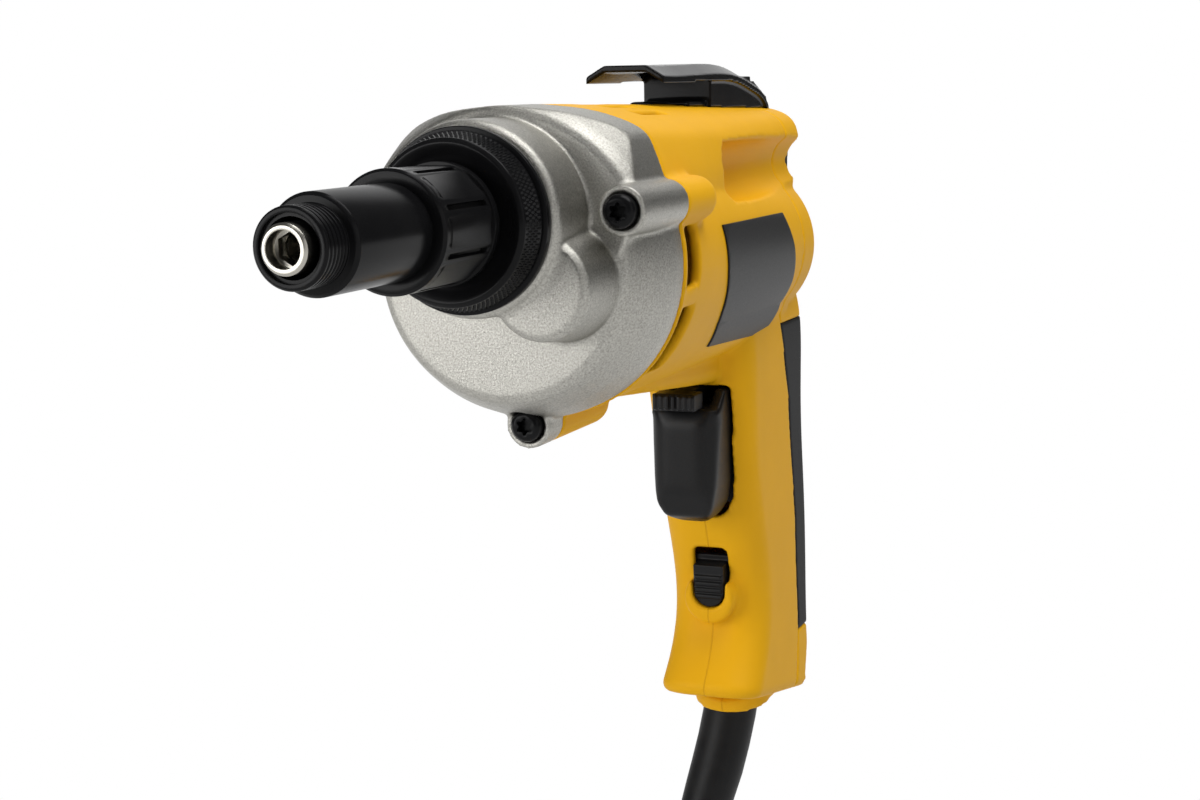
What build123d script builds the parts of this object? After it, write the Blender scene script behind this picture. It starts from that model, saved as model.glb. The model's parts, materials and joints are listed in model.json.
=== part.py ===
from build123d import *
import math
import os

# Corded electric screwdriver with an adjustable clutch.
# Millimetres. The origin is the middle of the hand grip, +X runs forward to the nose,
# +Y is the tool's left side and +Z is up.

# Spindle line and overall stations along X
spindle_z = 118.0
nose_x = 288.0
seam_x = 161.5
case_depth = 24.5
rear_seam_x = 8.0

# Nose
nose_r = 8.9
nose_bore_r = 7.4
nose_thread_length = 8.4
thread_pitch = 1.6
thread_depth = 0.7
barrel_nose_r = 11.2
nose_step = 9.9
sleeve_back = 43.0
bush_wall = 0.8

# Bit holder
bit_ring_r = 5.5
bit_ring_out = 2.5
bit_mouth_r = 4.1
bit_mouth_depth = 3.6
hex_across_flats = 6.4
hex_depth = 24.0
bit_holder_length = 52.0
bit_travel = 3.0
bit_tail_r = 3.6
bit_body = 26.0
retaining_ring_wire = 0.9

# Faceted sleeve and adjusting collar
sleeve_r = 14.4
sleeve_facets = 8
sleeve_groove = 1.4
sleeve_band = 3.4
sleeve_flat = 0.45
collar_r = 20.3
collar_front = 72.0
collar_length = 10.6
collar_lip = 1.6
knurl_r = 21.9
flange_r = 22.8
flange_length = 2.6

# Gear case
case_r = 40.5
case_wall = 3.2
# Draft of the case: distance forward of the seam and how far it draws in, outside and inside
case_draft = ((0.0, 0.0), (6.0, 0.0), (8.5, 0.6), (14.5, 2.3), (20.5, 4.9), (23.4, 6.6), (24.5, 8.6))
case_inside = ((0.0, 0.0), (6.0, 0.0), (8.5, 0.6), (14.5, 2.3), (18.0, 4.2), (21.3, 7.4))
motor_drop = 14.0
spindle_boss_r = 24.3
spindle_boss_out = 19.0
second_boss_r = 13.0
second_boss_out = 17.0
shoulder = (
    (0.0, 27.2),
    (6.1, 26.8),
    (16.1, 25.5),
    (21.8, 24.0),
    (27.5, 21.8),
    (31.1, 19.2),
    (32.8, 16.0),
    (35.4, 8.9),
    (30.0, -12.0),
)
shoulder_reach = 7.0
side_ear_y = 36.0
side_ear_rise = 1.8
side_ear_out = 32.5
bottom_ear_drop = 55.9
bottom_ear_out = 9.5
ear_r = 6.2
ear_web = 4.0
case_screw_r = 2.0
case_screw_head_r = 4.2
case_screw_head = 4.0

# Main housing and rear cover
housing_wall = 3.0
rear_r = 28.0
rear_drop = 21.5
belly_r = 22.0
belly_drop = 34.0
rear_end_x = -17.0
rear_end_r = 10.0
rear_cover_depth = 6.0
cover_screw_r = 1.6
cover_screw_head_r = 3.1
cover_screw_head = 2.8
cover_screw_sunk = 3.4
cover_screw_length = 9.6
roof_rear = (
    (0.0, 24.2),
    (4.0, 24.0),
    (9.5, 23.2),
    (13.5, 22.2),
    (16.8, 20.7),
    (19.3, 18.2),
    (20.6, 14.2),
    (20.5, 6.0),
    (17.0, -12.0),
)
roof_end_x = -13.0
roof_end_r = 4.0
keel_half = 10.0
keel_edge_r = 5.0
keel_line = ((128.0, 63.0), (110.0, 61.2), (34.0, 53.8))
groove_r = 9.0
groove_y = 26.0
groove_rise = 5.7
groove_start_x = 88.0
yellow_side_ear = 20.0
yellow_bottom_ear = 31.0
vent_x = 144.5
vent_wide = 12.5
vent_heights = ((97.3, 113.2), (75.0, 92.0))
roof_slot_x = 114.0
roof_slot_length = 24.0
roof_slot_wide = 3.0
roof_slot_places = (-18.0, -9.0, 0.0, 9.0, 18.0)
label_outline = (
    (117.0, 111.0),
    (35.0, 109.0),
    (26.0, 98.0),
    (19.5, 86.0),
    (17.5, 76.0),
    (20.0, 68.5),
    (101.0, 74.7),
    (109.0, 86.0),
    (114.0, 98.0),
)
label_thick = 0.6
label_seat = 0.05
saddle_r = 13.0
saddle_x = roof_end_x - 9.3
saddle_z = spindle_z + 4.5
saddle_half = 16.5
saddle_skin = 2.0
saddle_proud = 2.5
saddle_tall = 9.0

# Handle sections from top to bottom: height, front, back, half width, seam's distance from the back
handle_sections = (
    (88.0, 47.0, -13.0, 16.0, 18.0),
    (74.0, 46.0, -22.0, 19.0, 19.0),
    (43.0, 39.5, -28.0, 18.0, 20.0),
    (0.0, 26.8, -35.8, 17.0, 16.8),
    (-37.0, 23.8, -37.8, 17.0, 15.1),
    (-52.0, 35.0, -37.4, 17.6, 18.0),
    (-72.0, 46.0, -37.0, 18.0, 23.0),
)
# Back of the handle below the rubber, drawn in by a step
heel_line = ((-32.7, -42.4), (-32.6, -50.0), (-28.0, -62.0), (-24.0, -75.0))
heel_screw_x = -31.0
front_corner = 12.0
back_corner = 7.0
handle_wall = 3.0
grip_skin = 2.0
grip_top = 70.0
grip_bottom = heel_line[0][1]
handle_inside_top = 60.0
handle_inside_bottom = -49.0
rim_front_x = 32.0
rim_front_z = -53.0
rim_slope = 0.2
rim_edge_r = 3.0
exit_ring_r = 13.5
exit_ring_out = 2.5

# Trigger, reversing lever and lock slider
trigger_front = 52.3
trigger_back = 31.0
trigger_half = 11.5
trigger_corner = 7.0
trigger_travel = 7.0
trigger_top = 47.5
trigger_bottom = 9.0
cheek_inner = 7.2
cheek_front = 45.0
cheek_top = 53.0
# Front view of the trigger: half width and height, narrower and rounded at the bottom
trigger_view = ((11.5, 60.0), (11.5, 44.0), (10.4, 22.0), (9.4, 15.5), (7.2, 11.0), (4.4, 9.0))
moving_gap = 0.5
slide_gap = 0.06
plunger_r = 4.0
lever_pin_r = 2.0
lever_half = 7.0
lever_bar_half = 3.0
lever_front = 60.0
lever_pivot_x = 16.0
lever_top = 53.5
lever_height = 5.5
lock_width = 11.4
lock_top = -3.5
lock_bottom = -24.0
lock_travel = 5.0
lock_rim_r = 8.8
lock_rim_out = 2.4
lock_rim_low = -6.95
lock_back = 7.4
lock_wing = 1.2
lock_wing_face = 4.9
lever_slot_half = 9.5
switch_front = 22.0
switch_half = 13.5
switch_back = -6.0
switch_bottom = 12.0

# Motor
motor_z = spindle_z - motor_drop
shaft_r = 4.0
core_r = 18.5
core_front = 136.0
core_back = 104.0
stator_r = 30.0
stator_gap = 0.6
stator_fit = 0.1
commutator_r = 11.5
commutator_front = 76.0
commutator_length = 16.0
fan_r = 27.0
fan_x = 144.0
fan_length = 8.0
fan_blades = 11
bearing_wide = 6.0
bearing_outer_r = 9.5
front_bearing_x = 156.0
rear_bearing_x = 44.0
air_hole_r = 5.0
air_hole_out = 17.0
shaft_gap = 0.05
brush_reach = 27.6
brush_length = 12.0

# Gear train
pinion_module = 0.8
pinion_teeth = 8
wheel_teeth = 36
second_module = 1.0
second_pinion_teeth = 12
spindle_teeth = 36
gear_width = 6.0
first_gear_x = 168.5
second_gear_x = 176.5
tooth_gap = 0.25
second_shaft_r = 3.5
pinion_bore_r = 1.5

# Clutch and spindle
spindle_r = 5.6
clutch_plate_r = 15.5
clutch_ball_r = 2.0
clutch_balls_count = 6
clutch_spring_r = 13.5
clutch_wire_r = 0.9
clutch_coils = 2
nut_travel = 2.0
plate_x = 162.0
plate_thick = 5.0
spindle_journal_r = 3.0
nut_x = 193.0
nut_r = 18.2

# Belt hook
hook_half = 12.0
hook_flat = 6.5
hook_crown = 3.2
hook_thick = 2.0
hook_line = (
    (97.0, 155.2),
    (80.0, 155.0),
    (45.0, 155.6),
    (28.0, 154.8),
    (10.0, 151.7),
    (-5.0, 146.4),
    (-10.0, 140.0),
)
hook_block = (12.0, 52.0, 151.6)
hook_leg = ((-9.0, 139.0), (-5.5, 145.0), (8.0, 150.0), (33.0, 151.0), (12.4, 139.0))
hook_foot_front = 68.0
hook_foot_top = 144.4
hook_base_z = 140.0
hook_base_half = 11.0
hook_foot_half = 9.5
hook_screw_sunk = 0.7
hook_screw_x = 61.0
hook_screw_y = 5.5

# Cord
cord_r = 4.0
boot_top_r = 9.25
boot_end_r = 6.4
boot_length = 58.0
boot_x = 0.0
boot_top_z = -58.0
boot_neck_r = 5.0
boot_heading = -25.0
boot_lean_start = 12.0
boot_lean_end = 35.0
coil_inner_r = 35.5
coil_pitch = 8.7
coil_layers = 4
coil_turns_per_layer = 2.0
plug_length = 34.0

# Route of the free cord from the boot's end down to the coil
cord_route = (
    (20.82, -9.71, -110.83),
    (29.1, -13.6, -123.9),
    (36.5, -17.0, -142.2),
    (41.0, -19.1, -163.6),
    (42.4, -19.7, -185.5),
    (42.4, -19.7, -197.5),
)
plug_tail = 38.0
coil_x = cord_route[-1][0] - coil_inner_r - coil_pitch * coil_turns_per_layer
coil_y = cord_route[-1][1]
coil_z = cord_route[-1][2] - 2 * cord_r

parts = {}


def upright(radius, x, y, z0, z1):
    """A cylinder along Z between two heights."""
    return Pos(x, y, (z0 + z1) / 2) * Cylinder(radius, z1 - z0)


def keep(name, *solids):
    """Store one named piece, which may be a group of like solids."""
    parts[name] = Compound(children=[s for item in solids for s in item.solids()])


def rod(radius, x0, x1, y=0.0, z=spindle_z):
    """A cylinder along X between two stations."""
    length = abs(x1 - x0)
    return Pos((x0 + x1) / 2, y, z) * Rot(0, 90, 0) * Cylinder(radius, length)


def pipe(outer, inner, x0, x1, y=0.0, z=spindle_z):
    """A tube along X between two stations."""
    return rod(outer, x0, x1, y, z) - rod(inner, x0, x1, y, z)


def block(x0, x1, y0, y1, z0, z1):
    """A box between two corners."""
    size = (abs(x1 - x0), abs(y1 - y0), abs(z1 - z0))
    return Pos((x0 + x1) / 2, (y0 + y1) / 2, (z0 + z1) / 2) * Box(*size)


def turned(outline, y=0.0, z=spindle_z):
    """Spin an outline of station and radius about a line along X."""
    points = [(x, 0, r) for x, r in outline]
    face = make_face(Polyline(*points, close=True))
    return Pos(0, y, z) * revolve(face, axis=Axis.X)


def prism_x(points, x0, x1):
    """Extrude a closed outline of Y and Z between two stations."""
    face = make_face(Polyline(*[(x0, y, z) for y, z in points], close=True))
    return extrude(face, amount=x1 - x0, dir=(1, 0, 0))


def prism_y(points, half):
    """Extrude a closed outline of X and Z to both sides of the centre plane."""
    face = make_face(Polyline(*[(x, -half, z) for x, z in points], close=True))
    return extrude(face, amount=2 * half, dir=(0, 1, 0))


def gear(teeth, module, width, x0, bore, y, z, turn=0.0):
    """A spur gear with straight tapered teeth, slightly thinned for backlash."""
    tip = module * (teeth / 2 + 0.9)
    root = module * (teeth / 2 - 1.15)
    step = 360.0 / teeth
    outline = []
    for index in range(teeth):
        for share, radius in ((-0.31, root), (-0.11, tip), (0.11, tip), (0.31, root)):
            angle = math.radians(turn + (index + share) * step)
            outline.append((y + radius * math.cos(angle), z + radius * math.sin(angle)))
    wheel = prism_x(outline, x0, x0 + width)
    return wheel - rod(bore, x0 - 1, x0 + width + 1, y, z)


# Second shaft: placed at both gear centre distances, below and to the left of the spindle
first_centre = pinion_module * (pinion_teeth + wheel_teeth) / 2 + tooth_gap
second_centre = second_module * (second_pinion_teeth + spindle_teeth) / 2 + tooth_gap
second_drop = (second_centre ** 2 - first_centre ** 2 + motor_drop ** 2) / (2 * motor_drop)
second_y = math.sqrt(second_centre ** 2 - second_drop ** 2)
second_z = spindle_z - second_drop

case_face_x = seam_x + case_depth
boss_face_x = case_face_x + spindle_boss_out


def nose_pieces():
    """Threaded nose, its bush, the faceted sleeve and the turning collar."""
    thread_end = nose_x - nose_thread_length
    outline = [(nose_x, nose_bore_r), (nose_x, nose_r - 0.5), (nose_x - 0.5, nose_r)]
    groove_x = nose_x - thread_pitch
    while groove_x > thread_end:
        outline.append((groove_x + thread_depth / 2, nose_r))
        outline.append((groove_x, nose_r - thread_depth))
        outline.append((groove_x - thread_depth / 2, nose_r))
        groove_x -= thread_pitch
    step_x = nose_x - nose_step
    sleeve_x = nose_x - sleeve_back
    tail_x = nut_x - 3
    outline += [(step_x + 0.8, nose_r), (step_x + 0.8, barrel_nose_r - 0.8), (step_x, barrel_nose_r)]
    outline += [(tail_x, barrel_nose_r), (tail_x, nose_bore_r)]
    keep("nose_sleeve", turned(outline))
    bush_x = nose_x - 1.0
    keep("nose_bush", pipe(nose_bore_r, nose_bore_r - bush_wall, bush_x - 9, bush_x))

    sleeve_end = nose_x - collar_front + 1.5
    flats = RegularPolygon(sleeve_r - sleeve_flat, sleeve_facets, major_radius=False)
    flats = extrude(Rot(0, 0, 180 / sleeve_facets) * flats, amount=sleeve_x - sleeve_end - sleeve_band)
    flats = Pos(sleeve_end, 0, spindle_z) * Rot(0, 90, 0) * flats
    sleeve = rod(sleeve_r, sleeve_end, sleeve_x - sleeve_band) & flats
    band = [(sleeve_x - sleeve_band, 0), (sleeve_x - sleeve_band, sleeve_r), (sleeve_x - 0.7, sleeve_r)]
    sleeve += turned(band + [(sleeve_x, sleeve_r - 0.7), (sleeve_x, 0)])
    for index in range(sleeve_facets):
        groove = block(sleeve_end + 4, sleeve_x - sleeve_band, -sleeve_groove / 2, sleeve_groove / 2,
                       sleeve_r - 1.3, sleeve_r + 1)
        turn = 360.0 / sleeve_facets * (index + 0.5)
        sleeve -= Pos(0, 0, spindle_z) * Rot(turn, 0, 0) * groove
    sleeve += rod(sleeve_r + 0.4, sleeve_end, sleeve_end + 2.5)
    sleeve -= rod(barrel_nose_r, sleeve_end - 1, sleeve_x + 1)
    keep("faceted_sleeve", sleeve)

    rim_x = nose_x - collar_front
    back_x = rim_x - collar_length
    inner = barrel_nose_r + slide_gap
    recess = 1.6
    collar = [(rim_x - recess, inner), (rim_x - recess, collar_r - 4.6), (rim_x - 0.3, collar_r - 2.0)]
    collar += [(rim_x, collar_r - 1.2), (rim_x - 0.8, collar_r), (rim_x - collar_lip, collar_r)]
    collar += [(back_x + flange_length + 0.8, knurl_r), (back_x + flange_length + 0.8, knurl_r - 0.9)]
    collar += [(back_x + flange_length, knurl_r - 0.9), (back_x + flange_length, flange_r)]
    collar += [(back_x, flange_r), (back_x, inner)]
    keep("adjusting_collar", turned(collar))


def bit_pieces():
    """The hexagon bit holder that slides in the spindle, and its spring ring."""
    front = nose_x + bit_ring_out
    neck = front - bit_body
    tail = front - bit_holder_length
    outline = [(front, 0), (front, bit_ring_r - 0.6), (front - 0.6, bit_ring_r), (neck, bit_ring_r)]
    outline += [(neck, bit_tail_r), (tail, bit_tail_r), (tail, 0)]
    hexagon = Pos(front - hex_depth, 0, spindle_z) * Rot(0, 90, 0) * extrude(
        RegularPolygon(hex_across_flats / 2, 6, major_radius=False), amount=hex_depth + 1)
    mouth = rod(bit_mouth_r, front - bit_mouth_depth, front + 1)
    ring_x = front - 7
    seat_r = hex_across_flats / 2 + 1.0
    seat = pipe(seat_r, 1.0, ring_x - 0.6, ring_x + 0.6)
    keep("bit_holder", turned(outline) - hexagon - mouth - seat)
    keep("bit_retaining_ring", pipe(seat_r, seat_r - retaining_ring_wire, ring_x - 0.5, ring_x + 0.5))


def both_sides(half_outline):
    """Mirror a half outline of Y and height over the spindle line, which starts on the centre plane."""
    points = [(y, spindle_z + z) for y, z in half_outline]
    return points + [(-y, z) for y, z in reversed(points[1:])]


def drafted_drum(radius, draft):
    """A drum on the motor line that draws in towards its front."""
    outline = [(seam_x + out, radius - drawn) for out, drawn in draft]
    return turned([(seam_x, 0)] + outline + [(outline[-1][0], 0)], 0, motor_z)


def crest_face(x, half_outline):
    """A face across the tool under a smooth crest, given as half its points."""
    points = [(x, y, z) for y, z in both_sides(half_outline)]
    middle = len(half_outline)
    points = points[middle:] + points[:middle]
    return make_face([Spline(*points), Line(points[-1], points[0])])


def gear_case_pieces():
    """Cast gear case with two bosses and three screw ears, and its screws."""
    crest = extrude(crest_face(seam_x, shoulder), amount=case_depth, dir=(1, 0, 0))
    case = drafted_drum(case_r, case_draft) + (crest & drafted_drum(case_r + shoulder_reach, case_draft))
    boss = rod(spindle_boss_r, seam_x + 4, boss_face_x)
    case += fillet(boss.edges().filter_by(GeomType.CIRCLE).sort_by(Axis.X)[-1], 2.5)
    second_face = case_face_x + second_boss_out
    foot_r = second_boss_r + 1.6
    taper = [(seam_x + 4, 0), (seam_x + 4, foot_r), (case_face_x, foot_r), (second_face - 1.5, second_boss_r)]
    taper += [(second_face, second_boss_r - 1.5), (second_face, 0)]
    case += turned(taper, second_y, second_z)
    ears = ear_places()
    for y, z, out, _ in ears:
        case += rod(ear_r, seam_x, seam_x + out, y, z)
        if y == 0:
            case += block(seam_x, seam_x + out, -ear_web, ear_web, z, z + 2 * ear_web)

    case -= drafted_drum(case_r - case_wall, case_inside)
    case -= rod(spindle_boss_r - case_wall, seam_x, boss_face_x - 5)
    case -= rod(barrel_nose_r, seam_x, boss_face_x + 1)
    case -= rod(second_boss_r - case_wall + 0.6, seam_x, second_face - 12, second_y, second_z)
    case -= rod(5.5, seam_x, second_face - 4, second_y, second_z)
    screws = []
    for y, z, out, back in ears:
        face = seam_x + out
        case -= rod(case_screw_r, seam_x - 1, face + 1, y, z)
        case -= rod(case_screw_head_r + 0.4, face - 1.5, face + 8, y, z)
        head = rod(case_screw_head_r, face - 1.5, face - 1.5 + case_screw_head, y, z)
        recess = Pos(face + 1.2, y, z) * Rot(0, 90, 0) * extrude(RegularPolygon(2.1, 6), amount=2)
        screws.append(head - recess + rod(case_screw_r, seam_x - back + 4, face - 1.5, y, z))
    keep("gear_case", case)
    keep("gear_case_screws", *screws)


def ear_places():
    """Screw ears: across, height, length forward of the seam, length behind it."""
    rise = spindle_z + side_ear_rise
    return (
        (side_ear_y, rise, side_ear_out, yellow_side_ear),
        (-side_ear_y, rise, side_ear_out, yellow_side_ear),
        (0.0, spindle_z - bottom_ear_drop, bottom_ear_out, yellow_bottom_ear),
    )


def circle_at(x, z, radius):
    """A round section of the barrel."""
    return Pos(x, 0, z) * Rot(0, 90, 0) * Circle(radius)


def barrel_cone(drop, radius, x_end, wall=0.0):
    """One of the two leaning cones that make the barrel, from the seam to its end."""
    share = (seam_x - x_end) / (seam_x - rear_seam_x)
    end_z = motor_z + share * (spindle_z - drop - motor_z)
    end_r = case_r + share * (radius - case_r)
    front = circle_at(seam_x, motor_z, case_r - wall)
    back = circle_at(x_end, end_z, end_r - wall)
    return loft([front, back], ruled=True)


def handle_solid(front_in=0.0, back_in=0.0, side_in=0.0, top=None, bottom=None):
    """The raked handle as a smooth run of rounded sections, drawn in by the given walls."""
    sections = []
    for z, front, back, half, _ in handle_sections:
        depth = front - back - front_in - back_in
        middle = (front - front_in + back + back_in) / 2
        outline = Rectangle(depth, 2 * (half - side_in))
        outline = fillet(outline.vertices().group_by(Axis.X)[0], back_corner - side_in)
        outline = fillet(outline.vertices().group_by(Axis.X)[-1], front_corner - side_in)
        sections.append(Pos(middle, 0, z) * outline)
    solid = loft(sections)
    if top is not None:
        solid &= block(-100, 100, -60, 60, bottom, top)
    return solid


def roof_solid():
    """Squared top of the housing, from the case's shoulders back to the rear lip."""
    roof = loft([crest_face(seam_x, shoulder), crest_face(roof_end_x, roof_rear)], ruled=True)
    end = roof.faces().sort_by(Axis.X)[0]
    return fillet(end.edges().sort_by(SortBy.LENGTH)[-1], roof_end_r)


def groove_cut(side, grow=0.0):
    """Round-ended thumb groove under one edge of the roof."""
    y = side * groove_y
    z = spindle_z + groove_rise
    cut = rod(groove_r + grow, roof_end_x - 20, groove_start_x, y, z)
    return cut + Pos(groove_start_x, y, z) * Sphere(groove_r + grow)


def housing_outer():
    """Outer form of the yellow housing before it is split: barrel, roof, grooves, ears, handle."""
    barrel = barrel_cone(rear_drop, rear_r, rear_end_x)
    barrel = fillet(barrel.edges().sort_by(Axis.X)[0], rear_end_r)
    belly = barrel_cone(belly_drop, belly_r, rear_end_x + 8)
    belly = fillet(belly.edges().sort_by(Axis.X)[0], rear_end_r)
    outer = barrel + belly + roof_solid()
    for side in (1, -1):
        outer -= groove_cut(side)
    outer -= saddle_rod(saddle_r)
    for y, z, _, back in ear_places():
        ear = rod(ear_r, seam_x - back - ear_r, seam_x, y, z)
        end = ear.edges().filter_by(GeomType.CIRCLE).sort_by(Axis.X)[0]
        outer += fillet(end, ear_r - 0.4)
    outer += rod(case_r + 0.5, seam_x - 1.6, seam_x, 0, motor_z)
    return outer + keel_solid()


def keel_solid():
    """Rounded keel under the barrel that runs back into the handle above the trigger."""
    high = motor_z - 14
    outline = list(keel_line) + [(keel_line[-1][0], high), (keel_line[0][0], high)]
    keel = prism_y(outline, keel_half)
    low = keel.edges().filter_by(lambda edge: edge.center().Z < high - 5)
    return fillet(low.filter_by(lambda edge: abs((edge % 0.5).X) > 0.9), keel_edge_r)


def rim_height(x):
    """Height of the handle's tilted lower rim."""
    return rim_front_z - rim_slope * (rim_front_x - x)


def below_rim():
    """Everything under the handle's tilted lower rim."""
    far = 90.0
    line = [(-far, rim_height(-far)), (far, rim_height(far)), (far, -150), (-far, -150)]
    return prism_y(line, far)


def saddle_rod(radius, half=40.0):
    """A cylinder along Y that hollows the back of the tool for the web of the hand."""
    return Pos(saddle_x, 0, saddle_z) * Rot(90, 0, 0) * Cylinder(radius, 2 * half)


def seam_zone():
    """Everything behind the joint between the main housing and the rear cover."""
    line = [(rear_seam_x, 220), (rear_seam_x, grip_top + 6)]
    line += [(back + seam, z) for z, _, back, _, seam in handle_sections if z < grip_top]
    last = line[-1][0]
    return prism_y(line + [(last, -120), (-90, -120), (-90, 220)], 70)


def heel_cut(grow=0.0):
    """Everything behind the drawn-in back of the handle's foot, grown by a wall."""
    far = 90.0
    line = [(x + grow, z) for x, z in heel_line]
    top = line[0][1] + grow
    return prism_y([(line[0][0], top)] + line[1:] + [(-far, line[-1][1]), (-far, top)], far)


def lock_frame():
    """Placement of the lock slider on the raked front of the handle."""
    upper, lower = handle_sections[3], handle_sections[4]
    middle = (lock_top + lock_bottom) / 2
    rake = (upper[1] - lower[1]) / (upper[0] - lower[0])
    front = lower[1] + rake * (middle - lower[0])
    return Pos(front, 0, middle) * Rot(0, math.degrees(math.atan(rake)), 0)


def housing_pieces():
    """Main housing, rear cover, rubber back, saddle pad and bare label plates."""
    barrel_outer = housing_outer()
    handle = handle_solid() - below_rim()
    rim = handle.faces().sort_by(Axis.Z)[0]
    handle = fillet(rim.edges(), rim_edge_r)
    ring = Pos(boot_x, 0, rim_height(boot_x)) * Rot(0, math.degrees(math.atan(rim_slope)), 0)
    outer = barrel_outer + (handle - heel_cut()) + ring * Cylinder(exit_ring_r, 2 * exit_ring_out)
    lock = lock_frame()
    lock_rim = rod(lock_rim_r, -4, lock_rim_out, 0, lock_rim_low)
    lock_rim = fillet(lock_rim.edges().filter_by(GeomType.CIRCLE).sort_by(Axis.X)[-1], lock_rim_out - 0.4)
    outer += lock * (lock_rim & block(-6, 6, -20, 20, -20, 0))

    hollow_end = rear_seam_x - rear_cover_depth
    hollow = barrel_cone(rear_drop, rear_r, hollow_end, housing_wall)
    hollow += barrel_cone(belly_drop, belly_r, hollow_end, housing_wall)
    web_x = rear_bearing_x
    web = rod(case_r, web_x, web_x + bearing_wide, 0, motor_z)
    web -= rod(bearing_outer_r, web_x - 1, web_x + bearing_wide + 1, 0, motor_z)
    for angle in (45, 135, 225, 315):
        turn = math.radians(angle)
        hole_y = air_hole_out * math.cos(turn)
        hole_z = motor_z + air_hole_out * math.sin(turn)
        web -= rod(air_hole_r, web_x - 1, web_x + bearing_wide + 1, hole_y, hole_z)
    hollow += rod(stator_r + stator_fit, core_back - 9, seam_x, 0, motor_z)
    hollow -= web
    for side in (1, -1):
        hollow -= groove_cut(side, housing_wall)
    collar_seat = pipe(case_r, stator_r + stator_fit, core_back + 4, core_front - 4, 0, motor_z)
    hollow -= collar_seat
    handle_hollow = handle_solid(handle_wall, handle_wall + grip_skin, handle_wall,
                                 handle_inside_top, handle_inside_bottom)
    shell = outer - hollow - (handle_hollow - heel_cut(handle_wall))

    slot_back = trigger_back - trigger_travel
    slot = trigger_outline(moving_gap, slot_back, trigger_front + 4)
    slot &= block(slot_back, trigger_front + 4, -60, 60, 0, lever_top + moving_gap)
    lever_slot = block(lever_pivot_x - 12, trigger_front + 4, -lever_slot_half, lever_slot_half,
                       lever_top - lever_height - moving_gap, lever_top + moving_gap)
    shell -= slot
    shell -= lever_slot
    half = lock_width / 2
    tall = lock_top - lock_bottom
    opening = block(-9, 9, -half, half, -tall / 2 + half, tall / 2)
    opening += rod(half, -9, 9, 0, -tall / 2 + half)
    shell -= lock * opening
    wing = half + lock_wing
    shell -= lock * block(-lock_back - moving_gap, -lock_wing_face + moving_gap, -wing, wing, -tall, tall)
    for side in (1, -1):
        for low, high in vent_heights:
            shell -= block(vent_x, vent_x + vent_wide, side * 20, side * 50, low, high)
    half_slot = roof_slot_wide / 2
    for y in roof_slot_places:
        shell -= block(roof_slot_x, roof_slot_x + roof_slot_length, y - half_slot, y + half_slot,
                       spindle_z + 10, spindle_z + 40)
    for y, z, _, back in ear_places():
        shell -= rod(case_screw_r, seam_x - back + 4, seam_x + 1, y, z)
    shell -= boot_solid()

    zone = seam_zone()
    band = block(-90, 90, -60, 60, grip_bottom, grip_top)
    skin = (handle - handle_solid(0, grip_skin, grip_skin)) & zone & band
    skin -= barrel_outer
    keep("grip_insert", skin)
    pad = saddle_rod(saddle_r + saddle_skin, saddle_half)
    pad -= saddle_rod(saddle_r - saddle_proud, saddle_half + 1)
    pad &= block(roof_end_x, rear_seam_x, -saddle_half, saddle_half,
                 saddle_z - saddle_tall, saddle_z + saddle_tall)
    keep("saddle_pad", pad)
    screws = []
    for y, z, x in ((15.0, 92.0, rear_end_x), (-15.0, 92.0, rear_end_x), (0.0, -54.0, heel_screw_x)):
        seat = x + cover_screw_sunk
        shell -= rod(cover_screw_head_r + 0.2, x - 3, seat, y, z)
        shell -= rod(cover_screw_r, seat, seat + cover_screw_length, y, z)
        screws.append(rod(cover_screw_head_r, seat - cover_screw_head, seat, y, z)
                      + rod(cover_screw_r, seat, seat + cover_screw_length, y, z))
    rear = (shell & zone) - skin - pad
    keep("rear_cover", rear)
    keep("rear_cover_screws", *screws)
    keep("main_housing", shell - zone)

    grown = barrel_cone(rear_drop, rear_r, rear_end_x, -label_thick)
    grown += barrel_cone(belly_drop, belly_r, rear_end_x, -label_thick)
    seat = barrel_cone(rear_drop, rear_r, rear_end_x, -label_seat)
    seat += barrel_cone(belly_drop, belly_r, rear_end_x, -label_seat)
    for side, name in ((1, "label_plate_left"), (-1, "label_plate_right")):
        region = prism_y(label_outline, 60) & block(0, 200, 0, side * 60, 0, 200)
        keep(name, (grown & region) - seat - handle)


def trigger_outline(grow, x0, x1):
    """The trigger's front view as a bar along X, grown by a clearance."""
    right = [(half + grow, z - grow) for half, z in trigger_view]
    return prism_x(right + [(-y, z) for y, z in reversed(right)], x0, x1)


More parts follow.
